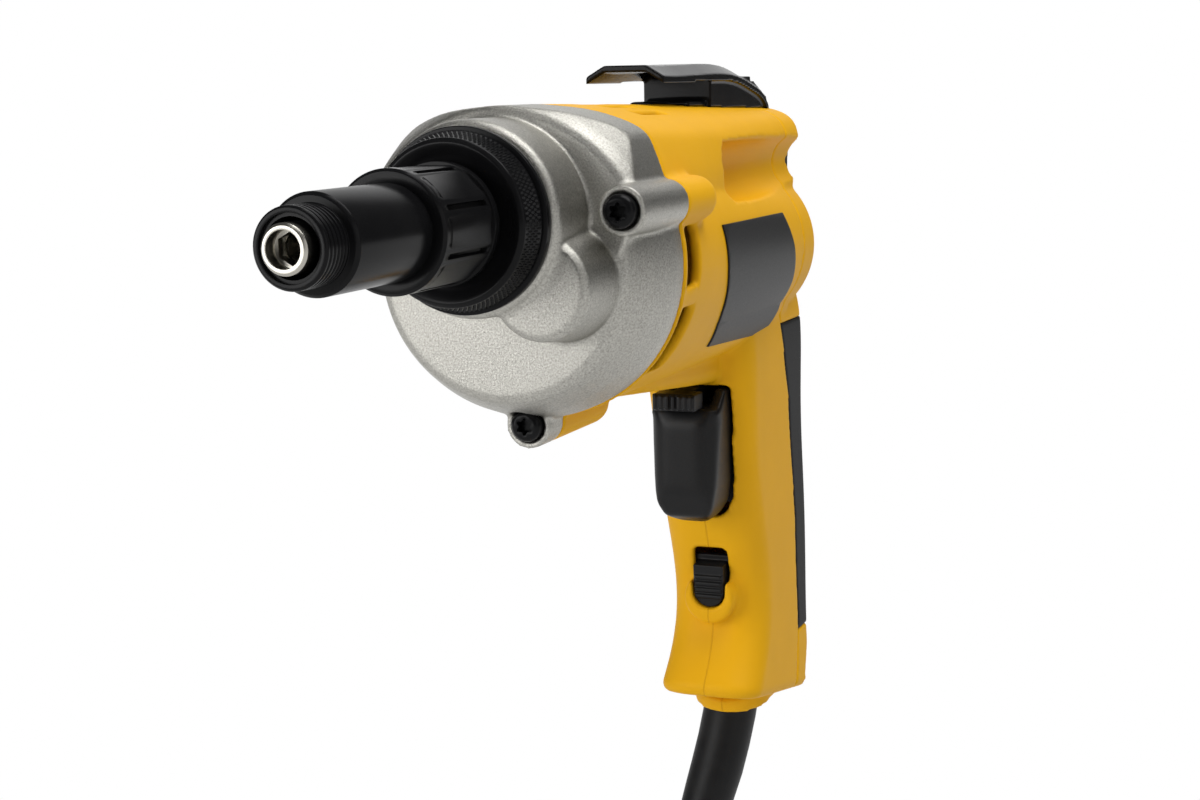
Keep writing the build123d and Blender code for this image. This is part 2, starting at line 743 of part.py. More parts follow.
def control_pieces():
    """Trigger, reversing lever, lock slider and the switch that they work."""
    side = [(trigger_back, trigger_top), (trigger_front - 2, trigger_top), (trigger_front, trigger_top - 5)]
    side += [(trigger_front, trigger_bottom + 12), (trigger_front - 4, trigger_bottom + 3)]
    side += [(trigger_front - 11, trigger_bottom), (trigger_back + 6, trigger_bottom)]
    side += [(trigger_back, trigger_bottom + 4)]
    length = trigger_front - trigger_back
    plan = RectangleRounded(length + 10, 2 * trigger_half, trigger_corner)
    plan = Pos(trigger_back + length / 2 - 5, 0, 0) * plan
    trigger = prism_y(side, trigger_half) & extrude(plan, amount=100)
    trigger &= trigger_outline(0, trigger_back, trigger_front)
    for sign in (1, -1):
        cheek = [(trigger_back + 2, trigger_top - 2), (trigger_back + 2, cheek_top)]
        cheek += [(cheek_front - 4, cheek_top), (cheek_front + 4, trigger_top - 2)]
        outside = block(0, 90, sign * cheek_inner, sign * trigger_half, 0, 90)
        trigger += prism_y(cheek, trigger_half) & outside
    plunger_z = (trigger_top + trigger_bottom) / 2
    trigger += rod(plunger_r, switch_back + 10, trigger_back + 1, 0, plunger_z)
    keep("trigger", trigger)

    switch_top = lever_top - lever_height - 1.5
    switch = block(switch_back, switch_front, -switch_half, switch_half, switch_bottom, switch_top)
    switch -= rod(plunger_r + slide_gap, switch_back + 2, switch_front + 1, 0, plunger_z)
    pin = upright(lever_pin_r, lever_pivot_x, 0, lever_top - lever_height - 6, lever_top + moving_gap)
    keep("switch_body", switch + pin)

    low = lever_top - lever_height
    lever = block(lever_pivot_x, lever_front - 4, -lever_bar_half, lever_bar_half, low, lever_top)
    lever += block(lever_front - 9, lever_front - 1, -lever_half, lever_half, low, lever_top)
    lever += upright(6, lever_pivot_x, 0, low, lever_top)
    for index in range(-3, 4):
        rib_y = index * 2.0
        lever += block(lever_front - 1.5, lever_front, rib_y - 0.6, rib_y + 0.6, low + 0.6, lever_top - 0.6)
    lever -= upright(lever_pin_r + slide_gap, lever_pivot_x, 0, low - 1, lever_top + 1)
    keep("reversing_lever", lever)

    half = lock_width / 2 - moving_gap
    tall = lock_top - lock_bottom
    foot = -tall / 2 + moving_gap + half
    top = tall / 2 - lock_travel - moving_gap
    slider = block(-lock_back, 1.0, -half, half, foot, top)
    slider += rod(half, -lock_back, 1.0, 0, foot)
    for index in range(4):
        slider += block(0.6, 1.7, -half + 0.6, half - 0.6, foot + index * 2.2 - 2.0, foot + index * 2.2 - 0.8)
    wing = half + lock_wing
    slider += block(-lock_back, -lock_wing_face, -wing, wing, foot - 6, top + 2)
    keep("lock_slider", lock_frame() * slider)


def ball_bearing(name, x0, inner, outer, width, z):
    """A closed ball bearing, rings and balls as separate solids."""
    mid = (inner + outer) / 2
    ball = (outer - inner) * 0.24
    inner_ring = pipe(mid - ball * 0.7, inner, x0, x0 + width, 0, z)
    outer_ring = pipe(outer, mid + ball * 0.7, x0, x0 + width, 0, z)
    track = Pos(x0 + width / 2, 0, z) * Rot(0, 90, 0) * Torus(mid, ball + 0.03)
    balls = []
    for index in range(7):
        turn = 2 * math.pi * index / 7
        balls.append(Pos(x0 + width / 2, mid * math.cos(turn), z + mid * math.sin(turn)) * Sphere(ball))
    keep(name + "_outer", outer_ring - track)
    return inner_ring - track, balls


def motor_pieces():
    """Universal motor: armature, fan, field and brushes."""
    shaft_back = rear_bearing_x - 2
    shaft_front = first_gear_x + gear_width + 0.8
    keep("armature_shaft", rod(shaft_r, shaft_back, front_bearing_x + bearing_wide + 1, 0, motor_z)
         + rod(pinion_bore_r, front_bearing_x + bearing_wide, shaft_front, 0, motor_z))
    keep("armature_core", slotted_core())
    winding = pipe(core_r - 3, shaft_r, core_front, core_front + 7, 0, motor_z)
    rear_winding = pipe(core_r - 3, shaft_r, core_back - 9, core_back, 0, motor_z)
    keep("armature_windings", winding, rear_winding)
    back = commutator_front - commutator_length
    commutator = pipe(commutator_r, shaft_r, back, commutator_front, 0, motor_z)
    for index in range(18):
        cut = block(back - 1, commutator_front - 3, -0.3, 0.3, commutator_r - 1.4, commutator_r + 1)
        commutator -= Pos(0, 0, motor_z) * Rot(index * 20, 0, 0) * cut
    keep("commutator", commutator)
    fan = pipe(fan_r, shaft_r, fan_x, fan_x + 1.8, 0, motor_z)
    fan += pipe(9, shaft_r, fan_x, fan_x + fan_length, 0, motor_z)
    for index in range(fan_blades):
        blade = Pos(0, 0, motor_z) * Rot(index * 360 / fan_blades, 0, 0) * Pos(0, 6, 0) * block(
            fan_x + 1, fan_x + fan_length, -0.8, 0.8, 7, fan_r - 2)
        fan += blade
    keep("cooling_fan", fan)

    bore = core_r + stator_gap
    stator = pipe(stator_r, bore, core_back - 2, core_front + 2, 0, motor_z)
    for sign in (1, -1):
        for angle in (38, -38):
            channel = block(core_back - 3, core_front + 3, -3, 3, bore - 2, stator_r - 4)
            stator -= Pos(0, 0, motor_z) * Rot(90 * sign + angle, 0, 0) * channel
    keep("field_core", stator)
    coils = [pipe(stator_r - 5, bore + 1.5, x, x + 5, 0, motor_z) for x in (core_back - 7, core_front + 2)]
    keep("field_windings", *coils)
    holders = []
    brushes = []
    middle = commutator_front - commutator_length / 2
    for side in (1, -1):
        start = commutator_r + slide_gap
        end = side * (start + brush_length)
        brushes.append(block(middle - 4, middle + 4, side * start, end, motor_z - 2.5, motor_z + 2.5))
        box = block(middle - 6, middle + 6, side * (start + 2), side * brush_reach,
                    motor_z - 4.5, motor_z + 4.5)
        holders.append(box - block(middle - 4, middle + 4, 0, end, motor_z - 2.5, motor_z + 2.5))
    keep("carbon_brushes", *brushes)
    keep("brush_holders", *holders)
    inner, balls = ball_bearing("front_motor_bearing", front_bearing_x, shaft_r, bearing_outer_r,
                                bearing_wide, motor_z)
    keep("front_motor_bearing_inner", inner)
    rear_inner, rear_balls = ball_bearing("rear_motor_bearing", rear_bearing_x, shaft_r, bearing_outer_r,
                                          bearing_wide, motor_z)
    keep("rear_motor_bearing_inner", rear_inner)
    keep("motor_bearing_balls", *balls, *rear_balls)


def slotted_core():
    """Armature laminations with twelve slots."""
    core = pipe(core_r, shaft_r, core_back, core_front, 0, motor_z)
    for index in range(12):
        cut = block(core_back - 1, core_front + 1, -1.4, 1.4, core_r - 6, core_r + 1)
        core -= Pos(0, 0, motor_z) * Rot(index * 30, 0, 0) * cut
    return core


def gear_pieces():
    """Bearing plate, two gear stages, clutch and output spindle."""
    plate_front = plate_x + plate_thick
    plate = rod(case_r - case_wall - 0.1, plate_x, plate_front, 0, motor_z)
    plate += rod(bearing_outer_r + 3, front_bearing_x, plate_x, 0, motor_z)
    plate -= rod(bearing_outer_r, front_bearing_x - 1, front_bearing_x + bearing_wide, 0, motor_z)
    plate -= rod(shaft_r + 0.6, front_bearing_x, plate_front + 1, 0, motor_z)
    plate -= rod(5.5, plate_x + 0.6, plate_front + 1, second_y, second_z)
    plate -= rod(4.6, plate_x + 0.6, plate_front + 1)
    keep("bearing_plate", plate)
    towards_second = math.degrees(math.atan2(second_z - motor_z, second_y))
    keep("motor_pinion", gear(pinion_teeth, pinion_module, gear_width, first_gear_x, pinion_bore_r,
                              0, motor_z, towards_second))
    towards_motor = math.degrees(math.atan2(motor_z - second_z, -second_y))
    towards_spindle = math.degrees(math.atan2(spindle_z - second_z, -second_y))
    wheel_turn = towards_motor + 180 / wheel_teeth
    keep("intermediate_gear", gear(wheel_teeth, pinion_module, gear_width, first_gear_x, second_shaft_r,
                                   second_y, second_z, wheel_turn))
    keep("intermediate_pinion", gear(second_pinion_teeth, second_module, gear_width, second_gear_x,
                                     second_shaft_r, second_y, second_z, towards_spindle))
    second_end = case_face_x + second_boss_out - 5
    keep("intermediate_shaft", rod(second_shaft_r, plate_x + 1.2, second_end, second_y, second_z))
    bush_back = pipe(5.5, second_shaft_r + shaft_gap, plate_x + 0.6, plate_front, second_y, second_z)
    bush_front = pipe(5.5, second_shaft_r + shaft_gap, second_end - 6, second_end + 1, second_y, second_z)
    spindle_bush = pipe(4.6, spindle_journal_r + shaft_gap, plate_x + 0.6, plate_front)
    keep("shaft_bushes", bush_back, bush_front, spindle_bush)

    gear_turn = towards_spindle + 180 + 180 / spindle_teeth
    gear_front = second_gear_x + gear_width
    plate_back = gear_front + 2.4
    spindle_front = nose_x + bit_ring_out - bit_body - bit_travel - 0.8
    bit_tail = nose_x + bit_ring_out - bit_holder_length
    spindle = rod(spindle_journal_r, plate_x + 1.2, plate_front + 0.4)
    spindle += rod(spindle_r, plate_front + 0.4, spindle_front)
    spindle -= rod(bit_tail_r + shaft_gap, bit_tail - bit_travel - 1, spindle_front + 1)
    keep("output_spindle", spindle)
    wheel = gear(spindle_teeth, second_module, gear_width, second_gear_x, spindle_r, 0, spindle_z, gear_turn)
    drive = pipe(clutch_plate_r, spindle_r, plate_back, plate_back + 2.4)
    balls = []
    for index in range(clutch_balls_count):
        turn = 2 * math.pi * index / clutch_balls_count
        place = Pos(gear_front + 1.2, 12 * math.cos(turn), spindle_z + 12 * math.sin(turn))
        balls.append(place * Sphere(clutch_ball_r))
        pocket_y = 12 * math.cos(turn)
        pocket_z = spindle_z + 12 * math.sin(turn)
        pocket = rod(clutch_ball_r + 0.05, gear_front - 0.85, plate_back + 0.85, pocket_y, pocket_z)
        wheel -= pocket
        drive -= pocket
    keep("spindle_gear", wheel)
    keep("clutch_plate", drive)
    keep("clutch_balls", *balls)
    spring_back = plate_back + 2.4
    pitch = (nut_x - nut_travel - spring_back - 2 * clutch_wire_r - 0.4) / clutch_coils
    coil = Helix(pitch, pitch * clutch_coils, clutch_spring_r)
    helix = Pos(spring_back + clutch_wire_r + 0.05, 0, spindle_z) * Rot(0, 90, 0) * coil
    profile = Plane(helix @ 0, z_dir=helix % 0) * Circle(clutch_wire_r)
    keep("clutch_spring", sweep(profile, path=helix))
    keep("adjusting_nut", pipe(nut_r, barrel_nose_r + shaft_gap, nut_x, nut_x + 2.6))
    front_bush = nose_x - sleeve_back + 4
    keep("spindle_front_bush", pipe(nose_bore_r, spindle_r + shaft_gap, front_bush, front_bush + 10))


def hook_pieces():
    """Belt hook: a crowned strip bent down at the rear, on a block and a screwed foot."""
    spine = Spline(*[(x, 0, z) for x, z in hook_line])
    plane = Plane(spine @ 0, x_dir=(0, 1, 0), z_dir=spine % 0)
    outer = [(-hook_half, hook_crown), (-hook_flat, 0), (hook_flat, 0), (hook_half, hook_crown)]
    inner = [(y, drop + hook_thick) for y, drop in reversed(outer)]
    hook = sweep(plane * make_face(Polyline(*outer, *inner, close=True)), path=spine)
    hook += prism_y(hook_leg, hook_base_half)
    block_back, block_front, block_top = hook_block
    hook += block(block_back, block_front, -hook_base_half, hook_base_half, hook_base_z, block_top)
    hook += block(block_front - 1, hook_foot_front, -hook_foot_half, hook_foot_half,
                  hook_base_z, hook_foot_top)
    screws = []
    for y in (hook_screw_y, -hook_screw_y):
        seat = hook_foot_top - hook_screw_sunk
        hook -= upright(1.8, hook_screw_x, y, hook_base_z, seat)
        hook -= upright(3.0, hook_screw_x, y, seat, hook_foot_top + 1)
        screws.append(upright(2.9, hook_screw_x, y, seat, hook_foot_top)
                      + upright(1.75, hook_screw_x, y, seat - 0.4, seat))
    keep("belt_hook", hook - roof_solid())
    keep("belt_hook_screws", *screws)


def lean_aim(tilt, heading):
    """A downward direction tilted towards a heading."""
    return Vector(math.sin(tilt) * math.cos(heading), math.sin(tilt) * math.sin(heading), -math.cos(tilt))


def lean_point(along):
    """Centre and direction of the cord boot at a distance from the handle's floor."""
    steps = 40
    place = Vector(boot_x, 0, boot_top_z)
    heading = math.radians(boot_heading)
    for index in range(steps):
        share = (index + 0.5) / steps * along / boot_length
        tilt = math.radians(boot_lean_start + (boot_lean_end - boot_lean_start) * share)
        place += lean_aim(tilt, heading) * (along / steps)
    tilt = math.radians(boot_lean_start + (boot_lean_end - boot_lean_start) * along / boot_length)
    return place, lean_aim(tilt, heading)


def boot_solid():
    """Tapered rubber boot that leans forward as the cord leaves the handle."""
    rings = 7
    sections = []
    for index in range(rings):
        place, aim = lean_point(boot_length * index / (rings - 1))
        share = max(0.0, (index / (rings - 1) - 0.5) / 0.5)
        radius = boot_top_r - 0.3 * index / (rings - 1) + (boot_end_r - boot_top_r + 0.3) * share ** 2
        sections.append(Plane(place, z_dir=aim) * Circle(radius))
    neck = upright(boot_neck_r, boot_x, 0, boot_top_z - 4, handle_inside_bottom + 8)
    return loft(sections, ruled=True) + neck


def coil_point(turn):
    """A point of the coil after so many turns: spirals in and out, climbing where it reverses."""
    layer = min(int(turn / coil_turns_per_layer), coil_layers - 1)
    within = turn - layer * coil_turns_per_layer
    inward = layer % 2 == 0
    wound = coil_turns_per_layer - within if inward else within
    radius = coil_inner_r + coil_pitch * wound
    climb = 0.0
    for step in range(1, coil_layers):
        climb += min(max((turn - step * coil_turns_per_layer) * 2 + 0.5, 0.0), 1.0)
    angle = -2 * math.pi * turn
    x = coil_x + radius * math.cos(angle)
    z = coil_z + radius * math.sin(angle)
    return Vector(x, coil_y + coil_pitch * climb, z)


def coil_heading(turn):
    """Direction of the coil at a turn, from its neighbours."""
    small = 0.002
    return (coil_point(turn + small) - coil_point(turn - small)).normalized()


def biarc(start, start_aim, end, end_aim):
    """Two tangent arcs between two points with given directions."""
    reach = end - start
    both = start_aim + end_aim
    bend = 2 * (1 - start_aim.dot(end_aim))
    across = reach.dot(both)
    span = (-across + math.sqrt(across ** 2 + bend * reach.dot(reach))) / bend
    middle = (start + start_aim * span + end - end_aim * span) * 0.5
    first = Edge.make_tangent_arc(start, start_aim, middle)
    second = Edge.make_tangent_arc(middle, first % 1, end)
    return [first, second]


def cord_pieces():
    """Boot, hanging cord, its coil with a tie, and the plug."""
    keep("cord_boot", boot_solid())
    turns = coil_layers * coil_turns_per_layer
    quarter = 0.25
    stub = 2 * cord_r
    start = coil_point(0)
    down = Vector(0, 0, -1)
    stations = [index * quarter for index in range(int(turns / quarter) + 1)]
    aims = [down] + [coil_heading(t) for t in stations[1:-1]] + [down]
    edges = [Edge.make_line(start - down * stub, start)]
    for index in range(len(stations) - 1):
        here, there = coil_point(stations[index]), coil_point(stations[index + 1])
        edges += biarc(here, aims[index], there, aims[index + 1])
    end = coil_point(turns)
    edges.append(Edge.make_line(end, end + down * plug_tail))
    path = Wire(edges)
    coil = sweep(Plane(path @ 0, z_dir=path % 0) * Circle(cord_r), path=path)
    keep("cord_coil", coil)
    print("coil length", path.length, "volume share", coil.volume / (math.pi * cord_r ** 2 * path.length))
    samples = [coil_point(i / 90) for i in range(int(turns * 90) + 1)]
    least = min((samples[i] - samples[j]).length for i in range(0, len(samples), 3)
                for j in range(i + 45, len(samples), 3))
    print("least gap in the coil", least - 2 * cord_r)

    cord_tube("power_cord", [Vector(*point) for point in cord_route])

    outer = coil_inner_r + coil_pitch * (coil_turns_per_layer - 0.5) + cord_r
    inner = coil_inner_r + coil_pitch * 0.5 - cord_r
    high = coil_y + coil_pitch * (coil_layers - 1) + cord_r
    low = coil_y - cord_r
    gap = 0.8
    strap = 1.6
    band = 5.0
    inside = (coil_x - outer - gap, coil_x - inner + gap, low - gap, high + gap)
    tie = block(inside[0] - strap, inside[1] + strap, inside[2] - strap, inside[3] + strap,
                coil_z - band, coil_z + band)
    tie -= block(*inside, coil_z - band - 1, coil_z + band + 1)
    keep("cord_tie", tie)

    tail = end + down * plug_tail
    body = Pos(tail.X, tail.Y, tail.Z - plug_length / 2) * Box(16, 24, plug_length)
    body = fillet(body.edges().filter_by(Axis.Z), 5)
    neck = Pos(tail.X, tail.Y, tail.Z) * Cone(9, 6, 10, align=(Align.CENTER, Align.CENTER, Align.MAX))
    grip = body & block(-200, 200, -60, 60, tail.Z - plug_length, tail.Z - 9)
    keep("plug_body", grip + neck)
    blades = []
    for side in (1, -1):
        blade = block(tail.X - 3.2, tail.X + 3.2, tail.Y + side * 6.35 - 0.75, tail.Y + side * 6.35 + 0.75,
                      tail.Z - plug_length - 17, tail.Z - plug_length)
        blades.append(blade)
    keep("plug_blades", *blades)


def cord_tube(name, route):
    """A free stretch of cord: straight runs joined by arcs as large as the runs allow."""
    radii = []
    for before, corner, after in zip(route, route[1:], route[2:]):
        turn = math.radians((corner - before).get_angle(after - corner))
        run = min((corner - before).length, (after - corner).length)
        radii.append(0.45 * run / math.tan(turn / 2))
    print(name, "radii", [round(r, 1) for r in radii])
    path = FilletPolyline(*route, radius=radii)
    tube = sweep(Plane(path @ 0, z_dir=path % 0) * Circle(cord_r), path=path)
    print(name, "length", path.length, "volume share", tube.volume / (math.pi * cord_r ** 2 * path.length))
    keep(name, tube)


def clamp_pieces():
    """Cord clamp inside the handle's floor and its two screws."""
    floor = handle_inside_bottom
    bar = block(boot_x - 6, boot_x + 6, -13.5, 13.5, floor, floor + 6)
    keep("cord_clamp", bar - boot_solid())
    screws = []
    for y in (-10, 10):
        screws.append(upright(3, boot_x, y, floor + 6, floor + 8.2))
    keep("cord_clamp_screws", *screws)


nose_pieces()
bit_pieces()
gear_case_pieces()
housing_pieces()
control_pieces()
motor_pieces()
gear_pieces()
hook_pieces()
cord_pieces()
clamp_pieces()

os.makedirs("parts", exist_ok=True)
for name, piece in parts.items():
    piece.label = name
    export_step(piece, os.path.join("parts", name + ".step"))
print(len(parts), "nodes")
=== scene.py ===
import json
import math

import bmesh
import bpy
from mathutils import Matrix, Vector


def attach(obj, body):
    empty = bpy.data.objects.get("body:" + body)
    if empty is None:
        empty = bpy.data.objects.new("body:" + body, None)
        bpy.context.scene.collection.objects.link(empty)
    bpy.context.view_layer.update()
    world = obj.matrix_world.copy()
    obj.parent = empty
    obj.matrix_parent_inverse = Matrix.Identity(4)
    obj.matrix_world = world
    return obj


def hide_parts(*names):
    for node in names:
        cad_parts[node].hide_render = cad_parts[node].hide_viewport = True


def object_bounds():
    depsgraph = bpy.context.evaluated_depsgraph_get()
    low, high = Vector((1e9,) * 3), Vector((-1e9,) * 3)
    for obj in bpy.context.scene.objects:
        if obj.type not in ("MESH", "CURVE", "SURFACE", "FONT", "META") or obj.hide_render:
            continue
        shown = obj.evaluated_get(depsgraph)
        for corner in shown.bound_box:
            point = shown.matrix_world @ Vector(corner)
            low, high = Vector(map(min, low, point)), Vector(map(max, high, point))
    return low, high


# Looks of a corded clutch screwdriver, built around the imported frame. Metres, unless millimetres are named.

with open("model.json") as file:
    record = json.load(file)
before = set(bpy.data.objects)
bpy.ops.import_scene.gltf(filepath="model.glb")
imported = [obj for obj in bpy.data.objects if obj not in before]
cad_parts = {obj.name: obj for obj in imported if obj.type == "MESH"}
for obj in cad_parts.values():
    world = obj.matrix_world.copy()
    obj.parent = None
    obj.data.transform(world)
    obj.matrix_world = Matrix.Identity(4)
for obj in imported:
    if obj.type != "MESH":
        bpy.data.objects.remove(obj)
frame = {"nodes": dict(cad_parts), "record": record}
cad_low, cad_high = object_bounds()
nodes = frame["nodes"]
record = frame["record"]
slot_of = {row["node"]: row["material_slot"] for row in record["subparts"]}
body_of = {node: body for body, members in record["behaviour"]["bodies"].items() for node in members}

MM = 0.001
SPINDLE_Z = 118 * MM

# Mesh work: points that count as one, edges to bevel, edges to keep sharp, and the pull of the edge rounding
WELD_GAP = 0.002 * MM
BEVEL_ANGLE = math.radians(35)
SHARP_ANGLE = math.radians(38)
ROUNDING_PULL = 0.5

# Photograph: width and focal length in pixels, camera place, its turns in degrees, sensor in millimetres
PHOTO_WIDE = 1200
FOCAL_PIXELS = 2000
CAMERA_PLACE = (642.1 * MM, 210.5 * MM, 150.2 * MM)
CAMERA_AROUND = 21.97
CAMERA_ABOVE = 9.00
CAMERA_ROLL = -1.01
SENSOR_WIDE = 36.0

# Studio: light from all round, and how bright the room in front of the tool shows in its gloss
ROOM_LIGHT = 0.29
FRONT_ROOM = 0.08

# White sweep behind the tool: its direction, and the closeness to it where white begins and is full
SWEEP_AIM = (-0.88, -0.34, 0.33)
SWEEP_BEGINS = 0.84
SWEEP_FULL = 0.97

# Floor: gap under the lead, half its width, and the distances over which its shading fades to plain white
FLOOR_GAP = 2 * MM
FLOOR_REACH = 6.0
FADE_BEGINS = 0.38
FADE_ENDS = 0.62
FADE_LEAST = 0.55

# Soft lamps: name, place, width and watts, all turned to one point of the tool
LAMPS = (
    ("key", (0.85, -0.50, 0.25), 0.55, 4.4),
    ("side", (0.60, 0.90, 0.35), 0.60, 0.9),
    ("top", (0.12, 0.28, 0.95), 0.70, 8.0),
)
LAMP_TARGET = (0.12, 0.0, 0.07)


class Wire:
    """One shader socket that takes part in Python arithmetic."""

    def __init__(self, tree, socket):
        self.tree = tree
        self.socket = socket

    def combine(self, operation, first, second):
        made = add_node(self.tree, "ShaderNodeMath", {"operation": operation}, {0: first, 1: second})
        return Wire(self.tree, made.outputs[0])

    def __add__(self, other):
        return self.combine("ADD", self, other)

    def __radd__(self, other):
        return self.combine("ADD", other, self)

    def __sub__(self, other):
        return self.combine("SUBTRACT", self, other)

    def __rsub__(self, other):
        return self.combine("SUBTRACT", other, self)

    def __mul__(self, other):
        return self.combine("MULTIPLY", self, other)

    def __rmul__(self, other):
        return self.combine("MULTIPLY", other, self)

    def above(self, other):
        return self.combine("GREATER_THAN", self, other)

    def below(self, other):
        return self.combine("LESS_THAN", self, other)

    def most(self, other):
        return self.combine("MAXIMUM", self, other)

    def size(self):
        return self.combine("ABSOLUTE", self, 0.0)

    def spread(self, low, high, start, end):
        """Map a span of values onto another with soft ends."""
        values = {"Value": self, "From Min": low, "From Max": high, "To Min": start, "To Max": end}
        made = add_node(self.tree, "ShaderNodeMapRange", {"interpolation_type": "SMOOTHSTEP"}, values)
        return Wire(self.tree, made.outputs[0])


def add_node(tree, kind, settings=None, inputs=None):
    """Add any node: its settings are set first, then its sockets get values or links."""
    made = tree.nodes.new(kind)
    for key, value in (settings or {}).items():
        setattr(made, key, value)
    for key, value in (inputs or {}).items():
        if isinstance(value, Wire):
            tree.links.new(value.socket, made.inputs[key])
        else:
            made.inputs[key].default_value = value
    return made


class Finish:
    """A material under construction, with its shader and its Object coordinates."""

    def __init__(self, name, metallic=0.0, specular=0.5):
        self.material = bpy.data.materials.new(name)
        self.material.use_nodes = True
        self.tree = self.material.node_tree
        self.shader = self.tree.nodes["Principled BSDF"]
        self.shader.inputs["Metallic"].default_value = metallic
        self.shader.inputs["Specular IOR Level"].default_value = specular
        self.place = self.wire("ShaderNodeTexCoord", output="Object")

    def wire(self, kind, settings=None, inputs=None, output=0):
        made = add_node(self.tree, kind, settings, inputs)
        return Wire(self.tree, made.outputs[output])

    def grain(self, size, detail=2.0, roughness=0.5):
        """Soft noise whose features are about the given size in metres."""
        values = {"Vector": self.place, "Scale": 1 / size, "Detail": detail, "Roughness": roughness}
        return self.wire("ShaderNodeTexNoise", None, values)

    def crystals(self, size):
        """Random tone per small cell of the given size in metres."""
        return self.wire("ShaderNodeTexVoronoi", None, {"Vector": self.place, "Scale": 1 / size}, "Color")

    def blend(self, factor, low, high):
        """Mix two colours, each a triple or a wire, by a factor."""
        ends = [colour if isinstance(colour, Wire) else (*colour, 1) for colour in (low, high)]
        return self.wire("ShaderNodeMix", {"data_type": "RGBA"}, {0: factor, 6: ends[0], 7: ends[1]}, 2)

    def along(self, axis):
        """Distance along one axis of the part's frame, in metres."""
        return self.wire("ShaderNodeSeparateXYZ", None, {0: self.place}, axis)

    def feed(self, **sockets):
        for key, value in sockets.items():
            self.tree.links.new(value.socket, self.shader.inputs[key.replace("_", " ")])

    def relief(self, height, depth, strength=1.0):
        values = {"Height": height, "Distance": depth, "Strength": strength}
        self.feed(Normal=self.wire("ShaderNodeBump", None, values))


def yellow_moulding():
    """Glass-filled housing plastic with a fine spark-eroded grain."""
    paint = Finish("yellow_moulding", specular=0.1)
    cloud = paint.grain(14 * MM)
    grain = paint.grain(0.45 * MM, 3.0)
    across = paint.along("Y").size()
    front = paint.along("X").above(10 * MM) * paint.along("Z").below(8 * MM)
    mould_line = across.spread(0.12 * MM, 0.34 * MM, 1.0, 0.0) * front
    yellow = paint.blend(cloud, (0.77, 0.395, 0.006), (0.83, 0.430, 0.008))
    paint.feed(Base_Color=paint.blend(0.25 * mould_line, yellow, (0.40, 0.15, 0.001)))
    paint.feed(Roughness=0.44 + 0.16 * grain)
    paint.relief(grain * 0.1 - mould_line, 0.25 * MM, 0.6)
    return paint.material


def blasted_casting():
    """Bead-blasted aluminium whose small facets sparkle."""
    metal = Finish("blasted_casting", metallic=1.0)
    cells = metal.crystals(0.55 * MM)
    grain = metal.grain(0.5 * MM, 3.0)
    pores = metal.grain(0.22 * MM, 2.0)
    metal.feed(Base_Color=metal.blend(grain, (0.16, 0.156, 0.140), (0.64, 0.625, 0.575)))
    metal.feed(Roughness=0.30 + 0.20 * pores)
    metal.relief(cells * 0.6 + pores, 0.14 * MM, 0.7)
    return metal.material


def black_oxide():
    """Black steel with a light oil sheen."""
    steel = Finish("black_oxide", specular=0.10)
    film = steel.grain(9 * MM)
    fine = steel.grain(0.3 * MM)
    steel.feed(Base_Color=steel.blend(film, (0.004, 0.004, 0.0045), (0.008, 0.008, 0.0085)))
    steel.feed(Roughness=0.16 + 0.08 * film + 0.06 * fine)
    return steel.material


def ground_steel():
    """Turned steel, slightly warm, with a fine mottle."""
    steel = Finish("ground_steel", metallic=1.0)
    fine = steel.grain(0.12 * MM)
    steel.feed(Base_Color=steel.blend(fine, (0.34, 0.325, 0.285), (0.52, 0.50, 0.45)))
    steel.feed(Roughness=0.22 + 0.14 * fine)
    return steel.material


def black_moulding():
    """Satin nylon of the trigger and controls."""
    nylon = Finish("black_moulding", specular=0.18)
    grain = nylon.grain(0.35 * MM)
    nylon.feed(Base_Color=nylon.blend(grain, (0.006, 0.006, 0.0065), (0.011, 0.011, 0.0115)))
    nylon.feed(Roughness=0.30 + 0.12 * grain)
    nylon.relief(grain, 0.02 * MM, 0.4)
    return nylon.material


def soft_rubber():
    """Matt grip rubber."""
    rubber = Finish("soft_rubber", specular=0.2)
    grain = rubber.grain(0.5 * MM, 3.0)
    rubber.feed(Base_Color=rubber.blend(grain, (0.008, 0.008, 0.0085), (0.017, 0.017, 0.0175)))
    rubber.feed(Roughness=0.52 + 0.2 * grain)
    rubber.relief(grain, 0.06 * MM, 0.5)
    return rubber.material


def cord_jacket():
    """Smooth vulcanised jacket."""
    jacket = Finish("cord_jacket", specular=0.2)
    cloud = jacket.grain(4 * MM)
    jacket.feed(Base_Color=jacket.blend(cloud, (0.007, 0.007, 0.0075), (0.012, 0.012, 0.0125)))
    jacket.feed(Roughness=0.42 + 0.12 * cloud)
    return jacket.material


def bare_label():
    """Bare dark foil, faintly mottled."""
    foil = Finish("bare_label", specular=0.15)
    fine = foil.grain(0.6 * MM, 3.0)
    foil.feed(Base_Color=foil.blend(fine, (0.014, 0.014, 0.0145), (0.024, 0.024, 0.0245)))
    foil.feed(Roughness=0.40 + 0.15 * fine)
    return foil.material


def plain_metal(name, dark, light, size, rough):
    """A bare metal with a mottled tone."""
    metal = Finish(name, metallic=1.0)
    tone = metal.grain(size, 3.0)
    metal.feed(Base_Color=metal.blend(tone, dark, light))
    metal.feed(Roughness=rough + 0.15 * tone)
    return metal.material


def pressed_carbon():
    """Dull brush carbon."""
    block = Finish("pressed_carbon")
    tone = block.grain(0.3 * MM)
    block.feed(Base_Color=block.blend(tone, (0.03, 0.03, 0.03), (0.07, 0.07, 0.07)))
    block.feed(Roughness=0.6 + 0.2 * tone)
    return block.material


